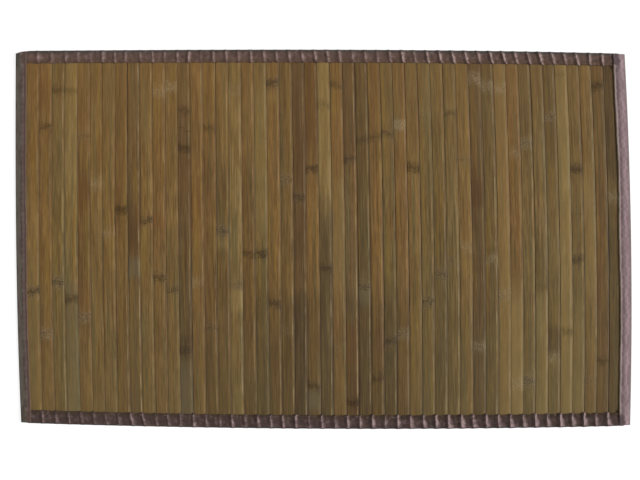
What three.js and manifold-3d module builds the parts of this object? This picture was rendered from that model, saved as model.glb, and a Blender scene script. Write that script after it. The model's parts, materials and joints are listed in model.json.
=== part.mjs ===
// Bamboo floor mat, lying flat: slats laid side by side, bound round the edge with folded cloth tape.
// Millimetres. +X runs across the slats along the mat's long side, +Y runs along the slats,
// +Z is up. The origin is on the floor under the middle of the mat.
//
// Every piece is first drawn on an even rectangle and then laid: lay() carries each of its points
// to where it lies on the real mat, which bows out a little on all four sides and leans.

import * as THREE from 'three';
import { mergeVertices } from 'three/addons/utils/BufferGeometryUtils.js';
import Module from 'manifold-3d';

const wasm = await Module();
wasm.setup();

// Driving dimensions of the whole mat
const MAT_LENGTH = 864;
const MAT_WIDTH = 532;
const LEAN = 10.1;

// How far each side bows out past its straight line. A skew moves the fullest place of the bow
// towards the right end or the top end of its side.
const BOWS = {
  left: { depth: 3.4, skew: -0.25 },
  right: { depth: 5.3, skew: 0 },
  top: { depth: 3.7, skew: 0.3 },
  bottom: { depth: 6.4, skew: 0 },
};

// Slats
const SLAT_COUNT = 47;
const SLAT_PITCH = 17.668;
const SLAT_THICKNESS = 2.8;
const SLAT_GAP = 0.6;
const SLAT_CROWN = 0.12;
const SHOULDER = { width: 1.4, nose: 0.45, noseDrop: 0.5, sideDrop: 1.2 };
const SLAT_STEPS = 4;

// The joints between slats, counted from the left, measured from the mat's left edge.
// They drift off an even pitch, a little differently at their top and bottom ends.
const FIRST_JOINT = 30.5;
const FIRST_SLAT_EDGE = 14.0;
const LAST_SLAT_EDGE = 13.5;
const JOINT_DRIFT = [
  { joint: 1, top: 4.0, bottom: 0.6 },
  { joint: 4, top: 3.8, bottom: 1.0 },
  { joint: 8, top: 2.6, bottom: 0.8 },
  { joint: 12, top: 1.9, bottom: 0.3 },
  { joint: 16, top: 2.2, bottom: 0.8 },
  { joint: 21, top: 2.8, bottom: 1.5 },
  { joint: 26, top: 2.7, bottom: 3.1 },
  { joint: 31, top: 1.4, bottom: 3.2 },
  { joint: 37, top: 1.9, bottom: 3.5 },
  { joint: 40, top: 0.8, bottom: 2.2 },
  { joint: 43, top: -1.1, bottom: 0.6 },
  { joint: 46, top: -3.0, bottom: -2.2 },
];

// Binding tape: one layer under the slats, a round fold at the edge and one layer over them
const CLOTH = 1.0;
const CLEARANCE = 0.3;
const END_BINDING = { top: 18.3, bottom: 19.0 };
const END_BINDING_STOP = 10;
const PUCKER = { halfWidth: 2.2, rise: 0.9, scallop: 0.45 };
const INNER_ROLL = 2.5;

// How much of a pucker's rise, scallop and slant each part of the tape's section takes
const TAPE_PARTS = {
  flat: { rise: 0, scallop: 0, slant: 0 },
  under: { rise: 0, scallop: 0.3, slant: 0.3 },
  edge: { rise: 0.1, scallop: 1, slant: 1 },
  inside: { rise: 0.1, scallop: 0.7, slant: 0.6 },
  shoulder: { rise: 0.6, scallop: 0.7, slant: 1 },
  foldTop: { rise: 0.9, scallop: 0, slant: 0.85 },
  middle: { rise: 1, scallop: 0, slant: 0.5 },
  roll: { rise: 0.85, scallop: 0, slant: 0.15 },
  lip: { rise: 0.3, scallop: 0, slant: 0 },
};

// A pucker's shift is how far its inner end stands to the right of the joint between the slats,
// its slant how far its outer end stands to the right of its inner end, and its spread how much
// wider its left flank is at the outer end.
const TOP_PUCKERS = [
  { joint: 1, shift: 0.0, slant: -0.4, spread: 0 },
  { joint: 3, shift: 4.3, slant: -0.6, spread: 0 },
  { joint: 4, shift: 4.4, slant: -0.8, spread: 0 },
  { joint: 7, shift: 3.4, slant: -0.4, spread: 0 },
  { joint: 8, shift: 1.3, slant: 0.0, spread: 0 },
  { joint: 9, shift: 4.5, slant: -1.2, spread: 0 },
  { joint: 13, shift: 1.2, slant: 1.6, spread: 0 },
  { joint: 16, shift: 0.6, slant: -0.6, spread: 0 },
  { joint: 24, shift: 1.6, slant: -2.6, spread: 0 },
  { joint: 28, shift: 0.8, slant: -1.2, spread: 0 },
  { joint: 33, shift: 1.6, slant: -3.4, spread: 0.4 },
  { joint: 38, shift: 2.0, slant: -4.6, spread: 0.6 },
  { joint: 42, shift: 2.4, slant: -5.2, spread: 0.6 },
  { joint: 45, shift: 1.6, slant: -1.0, spread: 0.4 },
  { joint: 46, shift: 1.8, slant: 0.0, spread: 0.4 },
];
const BOTTOM_PUCKERS = [
  { joint: 1, shift: 2.8, slant: 0.4, spread: 0.3 },
  { joint: 3, shift: 3.2, slant: 1.6, spread: 0.3 },
  { joint: 6, shift: 1.6, slant: 3.6, spread: 0.5 },
  { joint: 9, shift: 0.4, slant: 4.0, spread: 0.5 },
  { joint: 12, shift: 1.0, slant: 0.6, spread: 0.5 },
  { joint: 15, shift: 1.2, slant: 2.0, spread: 0.5 },
  { joint: 22, shift: 0.2, slant: 3.4, spread: 0.6 },
  { joint: 26, shift: 1.6, slant: 1.6, spread: 0.8 },
  { joint: 32, shift: 0.8, slant: 3.6, spread: 2.4 },
  { joint: 38, shift: 0.8, slant: 5.2, spread: 4.4 },
  { joint: 46, shift: 0.8, slant: 4.6, spread: 3.8 },
];

// The side bindings slope down from the last slat to a thin outer fold, and lie over the ends
// of the top and bottom bindings. Each width is measured from the outer fold.
const SIDE_FOLD_RADIUS = 1.15;
const SIDE_WIDTHS = {
  left: { top: 16.4, bottom: 15.2, wave: 0.3 },
  right: { top: 16.0, bottom: 16.0, wave: 0.6 },
};
const SIDE_WAVES = 2.5;
const SIDE_STEPS = 14;
const RAMP = 7;
const FOLD_OVER = { back: 3.0, drop: 0.5, droopShare: 0.5 };

// A side binding's slope, from the outer fold up to the ridge: how much of the way down
// each place is, and how far it bulges over a straight slope
const SIDE_SLOPE = [
  { down: 0.66, bulge: 0.45 },
  { down: 0.33, bulge: 0.4 },
  { down: 0, bulge: 0 },
];

// How far each end of a side binding stops short of the mat's corner, and how far
// its outer edge droops back from that end.
const SIDE_ENDS = {
  left: { top: { short: 0.3, droop: 3.4 }, bottom: { short: 0.6, droop: 0.8 } },
  right: { top: { short: 1.0, droop: 0.5 }, bottom: { short: 1.7, droop: 0.2 } },
};

// Heights
const SLAT_BOTTOM = CLOTH + CLEARANCE;
const SLAT_TOP = SLAT_BOTTOM + SLAT_THICKNESS;
const OVER_SLATS = SLAT_TOP + CLEARANCE;
const BINDING_TOP = OVER_SLATS + CLOTH;
const OVER_BINDING = BINDING_TOP + CLEARANCE;
const END_FOLD_RADIUS = BINDING_TOP / 2;

const HALF_LENGTH = (MAT_LENGTH - BOWS.left.depth - BOWS.right.depth) / 2;
const HALF_WIDTH = (MAT_WIDTH - BOWS.top.depth - BOWS.bottom.depth) / 2;

// How far the blocks that trim the corners reach past the mat, and the steps along its
// outline at which its box is measured
const BLOCK_MARGIN = 10;
const OUTLINE_STEPS = 200;

// Finishes: the slats' tones run from pale straw to dark umber
const FINISHES = {
  straw: { color: '#8a7040', roughness: 0.55 },
  honey: { color: '#7d6238', roughness: 0.55 },
  amber: { color: '#7a5832', roughness: 0.55 },
  olive: { color: '#6a5a36', roughness: 0.6 },
  umber: { color: '#5a452a', roughness: 0.6 },
  cloth: { color: '#5c4a47', roughness: 0.95 },
};

// Each slat's tone, from left to right
const SLAT_TONES = [
  'amber', 'amber', 'olive', 'straw', 'amber', 'honey', 'honey', 'amber', 'umber', 'honey',
  'amber', 'honey', 'umber', 'amber', 'amber', 'honey', 'straw', 'amber', 'olive', 'amber',
  'honey', 'umber', 'amber', 'straw', 'amber', 'umber', 'olive', 'amber', 'olive', 'amber',
  'honey', 'olive', 'olive', 'straw', 'honey', 'umber', 'olive', 'amber', 'amber', 'olive',
  'straw', 'olive', 'straw', 'olive', 'honey', 'amber', 'olive',
];

const materials = Object.fromEntries(
  Object.entries(FINISHES).map(([name, finish]) => [
    name,
    new THREE.MeshStandardMaterial({ ...finish, metalness: 0 }),
  ]),
);

// Places from one end to the other, an even step apart
function evenSteps(start, end, steps) {
  return Array.from({ length: steps + 1 }, (_, step) => THREE.MathUtils.lerp(start, end, step / steps));
}

// How far a side bows out at a place along it, from -1 at one end to 1 at the other
function bowAt({ depth, skew }, along) {
  return depth * (1 - along ** 2) * (1 + skew * along);
}

// Leans and bows a point of the even rectangle
function bend(x, y) {
  const u = x / HALF_LENGTH;
  const v = y / HALF_WIDTH;
  const sideways = THREE.MathUtils.lerp(-bowAt(BOWS.left, v), bowAt(BOWS.right, v), (1 + u) / 2);
  const lengthways = THREE.MathUtils.lerp(-bowAt(BOWS.bottom, u), bowAt(BOWS.top, u), (1 + v) / 2);
  return new THREE.Vector2(x - (LEAN / 2) * v + sideways, y + lengthways);
}

// Middle of the box round the bent outline
function outlineCentre() {
  const outline = evenSteps(-1, 1, OUTLINE_STEPS).flatMap((along) => [
    bend(-HALF_LENGTH, HALF_WIDTH * along),
    bend(HALF_LENGTH, HALF_WIDTH * along),
    bend(HALF_LENGTH * along, -HALF_WIDTH),
    bend(HALF_LENGTH * along, HALF_WIDTH),
  ]);
  return new THREE.Box2().setFromPoints(outline).getCenter(new THREE.Vector2());
}

const CENTRE = outlineCentre();

// Carries a point of the even rectangle to where it lies on the real mat
function lay(x, y, z) {
  const spot = bend(x, y).sub(CENTRE);
  return [spot.x, spot.y, z];
}

// Value of one named column of a table at a place between its rows
function readTable(rows, key, place, column) {
  const next = rows.findIndex((row) => row[key] >= place);
  if (next <= 0) return rows[next === 0 ? 0 : rows.length - 1][column];
  const [before, after] = [rows[next - 1], rows[next]];
  const share = (place - before[key]) / (after[key] - before[key]);
  return THREE.MathUtils.lerp(before[column], after[column], share);
}

// Triangles that cover a closed loop of [across, up] points
function cover(loop) {
  return THREE.ShapeUtils.triangulateShape(loop.map(([a, b]) => new THREE.Vector2(a, b)), []);
}

// Closed skin over a row of rings. Every ring has one section, an anticlockwise loop of
// [across, up] points, and place() says where a point of it stands. Seen with across to the
// right and up upwards, the rings come towards the eye.
function skin(stations, sectionAt, place) {
  const sections = stations.map(sectionAt);
  const size = sections[0].length;
  const rings = sections.length;
  const index = [];
  for (let ring = 0; ring + 1 < rings; ring += 1) {
    for (let i = 0; i < size; i += 1) {
      const a = ring * size + i;
      const b = ring * size + ((i + 1) % size);
      index.push(a, b, b + size, a, b + size, a + size);
    }
  }
  const last = (rings - 1) * size;
  cover(sections[0]).forEach(([a, b, c]) => index.push(a, c, b));
  cover(sections[rings - 1]).forEach(([a, b, c]) => index.push(last + a, last + b, last + c));
  const geometry = new THREE.BufferGeometry();
  const points = stations.flatMap((station, ring) => (
    sections[ring].flatMap((point) => lay(...place(point, station)))
  ));
  geometry.setAttribute('position', new THREE.Float32BufferAttribute(points, 3));
  geometry.setIndex(index);
  return geometry;
}

function toManifold(geometry) {
  const bare = mergeVertices(geometry);
  return new wasm.Manifold(new wasm.Mesh({
    numProp: 3,
    vertProperties: bare.attributes.position.array,
    triVerts: new Uint32Array(bare.index.array),
  }));
}

function toGeometry(manifold) {
  const mesh = manifold.getMesh();
  const geometry = new THREE.BufferGeometry();
  geometry.setAttribute('position', new THREE.BufferAttribute(mesh.vertProperties, 3));
  geometry.setIndex(new THREE.BufferAttribute(mesh.triVerts, 1));
  return geometry;
}

function makeMesh(name, geometry, material) {
  geometry.computeVertexNormals();
  const mesh = new THREE.Mesh(geometry, material);
  mesh.name = name;
  return mesh;
}

// How far down the mat a place is, from 0 at its top edge to 1 at its bottom edge
function downShare(y) {
  return (HALF_WIDTH - y) / (2 * HALF_WIDTH);
}

// Place across the mat of the joint to the right of a slat
function jointPlace(joint, y) {
  const [top, bottom] = ['top', 'bottom'].map((end) => readTable(JOINT_DRIFT, 'joint', joint, end));
  const drift = THREE.MathUtils.lerp(top, bottom, downShare(y));
  return -HALF_LENGTH + FIRST_JOINT + SLAT_PITCH * (joint - 1) + drift;
}

// Left and right edge of a slat, with half a gap taken off at each joint
function slatEdges(slat, y) {
  const atLeft = slat === 1;
  const atRight = slat === SLAT_COUNT;
  const left = atLeft ? -HALF_LENGTH + FIRST_SLAT_EDGE : jointPlace(slat - 1, y) + SLAT_GAP / 2;
  const right = atRight ? HALF_LENGTH - LAST_SLAT_EDGE : jointPlace(slat, y) - SLAT_GAP / 2;
  return { left, right };
}

// A slat's section: flat underneath, slightly crowned on top, with rounded shoulders
function slatSection({ left, right }) {
  const { width, nose, noseDrop, sideDrop } = SHOULDER;
  return [
    [left, SLAT_BOTTOM],
    [right, SLAT_BOTTOM],
    [right, SLAT_TOP - sideDrop],
    [right - nose, SLAT_TOP - noseDrop],
    [right - width, SLAT_TOP - SLAT_CROWN],
    [(left + right) / 2, SLAT_TOP],
    [left + width, SLAT_TOP - SLAT_CROWN],
    [left + nose, SLAT_TOP - noseDrop],
    [left, SLAT_TOP - sideDrop],
  ];
}

function makeSlat(slat) {
  const halfLong = HALF_WIDTH - END_FOLD_RADIUS - CLEARANCE;
  const stations = evenSteps(halfLong, -halfLong, SLAT_STEPS);
  const sectionAt = (y) => slatSection(slatEdges(slat, y));
  const geometry = skin(stations, sectionAt, ([x, z], y) => [x, y, z]);
  const name = `slat_${String(slat).padStart(2, '0')}`;
  return makeMesh(name, geometry, materials[SLAT_TONES[slat - 1]]);
}

// Section of the top or bottom binding at one of its rings, from the inner edge outwards. Each
// point is [across, up, how far along it is pushed], and the ring's lift goes from 0 on the
// floor of a pucker to 1 beside it.
function endSection(width, { lift, slant }) {
  const straight = width - END_FOLD_RADIUS;
  const diagonal = END_FOLD_RADIUS * Math.SQRT1_2;
  const point = (part, across, up) => {
    const share = TAPE_PARTS[part];
    return [
      across - PUCKER.scallop * share.scallop * (1 - lift),
      up + PUCKER.rise * share.rise * lift,
      slant * share.slant,
    ];
  };
  return [
    point('flat', 0, 0),
    point('flat', straight, 0),
    point('under', straight + diagonal, END_FOLD_RADIUS - diagonal),
    point('edge', width, END_FOLD_RADIUS),
    point('shoulder', straight + diagonal, END_FOLD_RADIUS + diagonal),
    point('foldTop', straight, BINDING_TOP),
    point('middle', width / 2, BINDING_TOP),
    point('roll', INNER_ROLL, BINDING_TOP),
    point('lip', 0, BINDING_TOP),
    point('lip', 0, OVER_SLATS),
    point('roll', INNER_ROLL, OVER_SLATS),
    point('foldTop', straight, OVER_SLATS),
    point('inside', width - CLOTH, END_FOLD_RADIUS),
    point('flat', straight, CLOTH),
    point('flat', 0, CLOTH),
  ];
}

// Where the rings of the top or bottom binding stand: one on each side of every pucker and
// one at its floor, and flat ones under the side bindings
function endStations(side, puckers) {
  const flat = (x) => ({ x, lift: 0, slant: 0 });
  const outer = HALF_LENGTH - END_BINDING_STOP;
  const inner = HALF_LENGTH - SIDE_WIDTHS.left.top - SLAT_GAP;
  const stations = [flat(-outer), flat(-inner)];
  for (let joint = 1; joint < SLAT_COUNT; joint += 1) {
    const [shift, slant, spread] = ['shift', 'slant', 'spread'].map((column) => (
      readTable(puckers, 'joint', joint, column)
    ));
    const x = jointPlace(joint, side * HALF_WIDTH) + shift;
    stations.push({ x: x - PUCKER.halfWidth, lift: 1, slant: slant - spread });
    stations.push({ x, lift: 0, slant });
    stations.push({ x: x + PUCKER.halfWidth, lift: 1, slant });
  }
  stations.push(flat(inner), flat(outer));
  return stations;
}

// The top binding has side 1 and the bottom binding side -1
function endBinding(side, width, puckers) {
  const stations = endStations(side, puckers);
  if (side < 0) {
    stations.reverse();
  }
  return skin(
    stations,
    (station) => endSection(width, station),
    ([across, up, push], { x }) => [x + push, side * (HALF_WIDTH - width + across), up],
  );
}

// Width of a side binding at a place along it, with a slow wave in its inner edge
function sideWidth(widths, y) {
  const share = downShare(y);
  const wave = widths.wave * Math.sin(2 * Math.PI * SIDE_WAVES * share) * Math.sin(Math.PI * share);
  return THREE.MathUtils.lerp(widths.top, widths.bottom, share) + wave;
}

// Section of a side binding: flat from its inner edge to the ridge, then down a convex slope
// to the thin outer fold. The points are [distance from the inner edge, height].
function sideSection(width, ridge, under) {
  const foldStart = width - SIDE_FOLD_RADIUS;
  const diagonal = SIDE_FOLD_RADIUS * Math.SQRT1_2;
  const foldTop = 2 * SIDE_FOLD_RADIUS;
  const foldInside = foldStart - CLOTH / 2;
  const top = under + CLOTH;
  const upper = SIDE_SLOPE.map(({ down, bulge }) => [
    THREE.MathUtils.lerp(ridge, foldStart, down),
    THREE.MathUtils.lerp(top, foldTop, down) + bulge,
  ]);
  const lower = upper.map(([across, up]) => [across, up - CLOTH]).reverse();
  return [
    [0, 0],
    [foldStart, 0],
    [foldStart + diagonal, SIDE_FOLD_RADIUS - diagonal],
    [width, SIDE_FOLD_RADIUS],
    [foldStart + diagonal, SIDE_FOLD_RADIUS + diagonal],
    [foldStart, foldTop],
    ...upper,
    [0, top],
    [0, under],
    ...lower,
    [foldInside, foldTop - CLOTH],
    [foldInside, CLOTH],
    [0, CLOTH],
  ];
}

// Where the rings of a side binding stand, from the bottom end to the top end
function sideStations(ends) {
  const rampFoot = (endWidth) => HALF_WIDTH - endWidth - CLEARANCE * 2 - RAMP;
  const feet = { top: rampFoot(END_BINDING.top), bottom: rampFoot(END_BINDING.bottom) };
  const middle = evenSteps(-feet.bottom, feet.top, SIDE_STEPS).map((y) => (
    { y, raised: 0, drop: 0, droop: 0 }
  ));
  const corner = (sign, foot, { short, droop }) => [
    { y: sign * (foot + RAMP), raised: 1, drop: 0, droop: 0 },
    {
      y: sign * (HALF_WIDTH - FOLD_OVER.back),
      raised: 1,
      drop: 0,
      droop: sign * droop * FOLD_OVER.droopShare,
    },
    { y: sign * (HALF_WIDTH - short), raised: 1, drop: FOLD_OVER.drop, droop: sign * droop },
  ];
  return [
    ...corner(-1, feet.bottom, ends.bottom).reverse(),
    ...middle,
    ...corner(1, feet.top, ends.top),
  ];
}

// The right binding has side 1 and the left binding side -1
function sideBinding(side, widths, ends, slatEdge) {
  const stations = sideStations(ends);
  if (side > 0) {
    stations.reverse();
  }
  const sectionAt = ({ y, raised, drop }) => {
    const width = sideWidth(widths, y);
    const reachIn = THREE.MathUtils.lerp(slatEdge, END_BINDING_STOP, raised) - 2 * CLEARANCE;
    const under = THREE.MathUtils.lerp(OVER_SLATS, OVER_BINDING, raised) - drop;
    return sideSection(width, width - reachIn, under);
  };
  return skin(stations, sectionAt, ([across, up], { y, droop }) => {
    const width = sideWidth(widths, y);
    return [side * (HALF_LENGTH - width + across), y - droop * (across / width) ** 2, up];
  });
}

// Block along one side of the mat that holds that side binding's lower layer
function lowerLayerBlock(side, widths) {
  const inner = side * (HALF_LENGTH - Math.max(widths.top, widths.bottom) - CLEARANCE);
  const outer = side * (HALF_LENGTH + BLOCK_MARGIN);
  const [left, right] = [Math.min(inner, outer), Math.max(inner, outer)];
  const section = [[left, -CLOTH], [right, -CLOTH], [right, SLAT_BOTTOM], [left, SLAT_BOTTOM]];
  const end = HALF_WIDTH + BLOCK_MARGIN;
  const stations = evenSteps(end, -end, SIDE_STEPS);
  return skin(stations, () => section, ([x, z], y) => [x, y, z]);
}

// The side bindings' lower layers pass under the ends of the top and bottom bindings
function clearCorners(geometry) {
  const blocks = [[-1, SIDE_WIDTHS.left], [1, SIDE_WIDTHS.right]].map((ends) => lowerLayerBlock(...ends));
  const cut = blocks.reduce((solid, block) => solid.subtract(toManifold(block)), toManifold(geometry));
  return toGeometry(cut);
}

const mat = new THREE.Group();
for (let slat = 1; slat <= SLAT_COUNT; slat += 1) {
  mat.add(makeSlat(slat));
}
const bindings = {
  binding_top: clearCorners(endBinding(1, END_BINDING.top, TOP_PUCKERS)),
  binding_bottom: clearCorners(endBinding(-1, END_BINDING.bottom, BOTTOM_PUCKERS)),
  binding_left: sideBinding(-1, SIDE_WIDTHS.left, SIDE_ENDS.left, FIRST_SLAT_EDGE),
  binding_right: sideBinding(1, SIDE_WIDTHS.right, SIDE_ENDS.right, LAST_SLAT_EDGE),
};
for (const [name, geometry] of Object.entries(bindings)) {
  mat.add(makeMesh(name, geometry, materials.cloth));
}

export default mat;
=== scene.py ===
# Bamboo floor mat lying flat on a pale floor: how its slats and its edge binding look.
# Shapes are worked out in millimetres on the mat's even rectangle, +X across the slats and +Y
# along them, and lay() carries them to metres where they lie on the real mat.

import json
import math
from collections import namedtuple

import bmesh
import bpy
import numpy as np
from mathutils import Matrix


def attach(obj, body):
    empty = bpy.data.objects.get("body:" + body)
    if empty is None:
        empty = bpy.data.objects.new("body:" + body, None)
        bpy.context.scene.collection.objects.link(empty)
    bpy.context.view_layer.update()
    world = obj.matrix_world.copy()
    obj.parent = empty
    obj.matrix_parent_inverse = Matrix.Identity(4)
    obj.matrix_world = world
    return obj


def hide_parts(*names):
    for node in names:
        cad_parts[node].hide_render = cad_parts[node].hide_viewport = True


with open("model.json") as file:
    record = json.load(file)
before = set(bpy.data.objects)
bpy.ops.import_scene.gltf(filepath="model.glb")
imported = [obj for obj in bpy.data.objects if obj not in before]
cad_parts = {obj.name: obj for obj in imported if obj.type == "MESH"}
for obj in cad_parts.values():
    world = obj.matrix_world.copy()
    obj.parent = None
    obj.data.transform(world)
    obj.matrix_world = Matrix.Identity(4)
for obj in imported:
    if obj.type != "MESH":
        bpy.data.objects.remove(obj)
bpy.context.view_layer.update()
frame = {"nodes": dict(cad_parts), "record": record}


# Slats
# Strips split from the wall of bamboo cane, planed to one thickness and rounded along their two
# upper edges. They lie side by side with a hair's gap, and their ends and the outer sides of the
# first and last are held in the cloth binding. The finish is a thin satin lacquer.

MM = 0.001
MAT_LENGTH = 864
MAT_WIDTH = 532
LEAN = 10.1
OUTLINE_STEPS = 200

# How far each side bows out; a skew moves its fullest place towards the right or the top end
Bow = namedtuple("Bow", "depth skew")
BOWS = {
    "left": Bow(3.4, -0.25),
    "right": Bow(5.3, 0),
    "top": Bow(3.7, 0.3),
    "bottom": Bow(6.4, 0),
}
HALF_LENGTH = (MAT_LENGTH - BOWS["left"].depth - BOWS["right"].depth) / 2
HALF_WIDTH = (MAT_WIDTH - BOWS["top"].depth - BOWS["bottom"].depth) / 2

SLAT_PITCH = 17.668
SLAT_THICKNESS = 2.8
SLAT_GAP = 0.09
SLAT_BOTTOM = 1.3
SLAT_CROWN = 0.12
SLAT_EDGE_ROUND = 0.3
EDGE_STEPS = 2
SLAT_END = 3.0
CUTS_ACROSS = 9
CUTS_ALONG = 129
TOUCHING = 0.01
PARALLEL = 0.99
FIRST_JOINT = 30.5
FIRST_SLAT_EDGE = 14.0
LAST_SLAT_EDGE = 13.5

# How far the joints between slats drift to the right of an even pitch, at the mat's top and
# bottom end. The joints in between follow.
JOINT_DRIFT = {
    1: (4.0, 0.6), 4: (3.8, 1.0), 8: (2.6, 0.8), 12: (1.9, 0.3),
    16: (2.2, 0.8), 21: (2.8, 1.5), 26: (2.7, 3.1), 31: (1.4, 3.2),
    37: (1.9, 3.5), 40: (0.8, 2.2), 43: (-1.1, 0.6), 46: (-3.0, -2.2),
}

# Inside its rounded edges a slat falls away over a wide shoulder. The left shoulders are alike.
# The right ones are planed more at some slats than at others, and more at one end than at the
# other: a pair gives a slat's share of the usual fall at the mat's top and bottom end. The same
# share sets how strongly the right shoulder's painted highlight shows.
SHOULDER_WIDTH = 3.8
SHOULDER_FLAT = 1.3
LEFT_FALL = 0.04
RIGHT_FALL = 0.13
PLANING_AND_HIGHLIGHT = {
    2: (0.8, 0.8), 3: (1.6, 1.5), 4: (0.7, 0.7), 5: (0.8, 0.7), 6: (0.4, 0.5),
    7: (0.4, 1.0), 8: (0.3, 1.5), 9: (2.1, 1.9), 11: (1.4, 0.8), 12: (0.2, 0.8),
    15: (0.8, 1.3), 16: (1.5, 0.7), 17: (1.3, 2.0), 18: (1.3, 1.3), 19: (1.5, 0.8),
    20: (1.2, 1.4), 21: (1.1, 1.9), 22: (0.7, 1.6), 23: (1.1, 0.6), 24: (1.0, 1.8),
    25: (1.5, 1.1), 26: (1.4, 2.2), 27: (1.1, 1.6), 28: (0.7, 1.4), 29: (0.1, 1.4),
    30: (0.9, 1.4), 31: (0.2, 1.3), 32: (0.5, 1.3), 33: (0.6, 1.7), 34: (0.5, 2.1),
    35: (0.5, 1.4), 36: (0.5, 1.3), 37: (1.1, 2.0), 38: (0.7, 1.4), 39: (0.8, 1.6),
    40: (1.4, 1.5), 41: (1.0, 1.4), 43: (1.2, 1.8), 45: (1.4, 0.8), 46: (0.7, 0.2),
}

# Joints where two slats stand further apart, and how far at the mat's top and bottom end
PARTED = {
    8: (0.6, 0.0), 13: (0.0, 0.5), 15: (0.5, 0.0), 24: (0.2, 0.3), 26: (0.2, 0.2),
    28: (0.3, 0.4), 29: (0.4, 0.4), 30: (0.4, 0.3), 31: (0.4, 0.3), 33: (0.4, 0.0),
    37: (0.4, 0.0), 40: (0.4, 0.0), 42: (0.5, 0.4), 44: (0.2, 0.2), 46: (0.0, 0.7),
}

# A slow uneven wave along a piece, made of one sine for each length
Wave = namedtuple("Wave", "lengths size")

# No two slats are quite alike: how far an edge wavers, and how far a slat tips or stands proud
EDGE_WAVER = Wave((230, 95), 0.1)
SLAT_TIP = 0.12
SLAT_PROUD = 0.1

# Knots, where a wall once crossed the cane: a thin crooked ring, standing a little proud, with
# dark specks or a pale patch at it. Each slat's knots are given by their place, measured down
# from the mat's top edge, and how dark and how pale they are.
KNOTS = {
    1: [(337, 0.9, 0.6)],
    2: [(107, 0.7, 0.1), (395, 0.5, 0.8)],
    3: [(56, 0.6, 0.0), (323, 0.8, 0.6)],
    4: [(58, 0.5, 0.0), (347, 0.7, 0.0)],
    5: [(119, 0.5, 0.3), (371, 0.5, 0.6)],
    6: [(186, 0.1, 0.6)],
    7: [(256, 0.0, 0.4)],
    8: [(222, 0.8, 0.0)],
    10: [(236, 0.8, 0.2)],
    11: [(58, 0.1, 0.6), (316, 0.8, 0.2)],
    12: [(52, 0.1, 0.7), (333, 0.6, 0.2)],
    13: [(84, 0.7, 0.0), (136, 0.8, 0.0), (415, 0.8, 0.2)],
    14: [(320, 0.1, 0.5)],
    15: [(108, 0.6, 0.0), (384, 0.6, 0.3)],
    16: [(250, 0.8, 0.7)],
    17: [(56, 0.2, 0.3), (326, 0.5, 0.4)],
    18: [(281, 0.7, 0.0)],
    19: [(281, 0.9, 0.1)],
    20: [(46, 0.9, 0.4), (350, 0.8, 0.1)],
    21: [(91, 0.2, 0.1), (179, 0.5, 0.5), (387, 0.2, 0.2)],
    22: [(204, 0.8, 0.3)],
    23: [(164, 0.9, 0.2), (464, 0.8, 0.2)],
    24: [(76, 0.5, 0.0), (302, 0.8, 0.1)],
    25: [(49, 0.6, 0.1), (410, 0.2, 0.2)],
    26: [(150, 0.8, 0.2), (485, 0.9, 0.0)],
    27: [(124, 0.6, 0.1), (326, 0.7, 0.4)],
    28: [(121, 0.6, 0.1), (453, 0.8, 0.1)],
    29: [(115, 0.7, 0.2), (401, 0.8, 0.3)],
    30: [(103, 0.1, 1.0), (391, 0.5, 0.7)],
    31: [(162, 0.9, 0.0)],
    32: [(90, 0.2, 0.2), (347, 0.9, 0.5)],
    33: [(309, 0.7, 0.5)],
    34: [(87, 0.6, 0.1), (291, 0.4, 0.3)],
    35: [(150, 0.4, 0.2), (271, 0.1, 0.5)],
    36: [(38, 0.1, 0.8), (409, 0.1, 0.6)],
    37: [(49, 0.1, 0.7), (288, 0.1, 0.5)],
    38: [(52, 0.1, 0.6), (337, 0.3, 0.6)],
    39: [(141, 0.1, 0.4), (461, 0.2, 0.6)],
    40: [(127, 0.5, 0.7), (457, 0.7, 0.6)],
    41: [(326, 0.4, 0.0)],
    42: [(90, 0.5, 0.6), (424, 0.2, 0.6)],
    43: [(31, 0.4, 0.1), (388, 0.6, 0.0)],
    44: [(162, 0.9, 0.0), (288, 0.8, 0.1)],
    45: [(211, 0.2, 0.2), (457, 0.4, 0.2)],
    46: [(46, 0.9, 0.0), (429, 0.7, 0.0)],
    47: [(201, 0.1, 0.6)],
}
KNOT_RISE = 0.18
KNOT_REACH = 3.0
KNOT_SLANT = 0.25
NO_KNOT = 400.0

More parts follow.
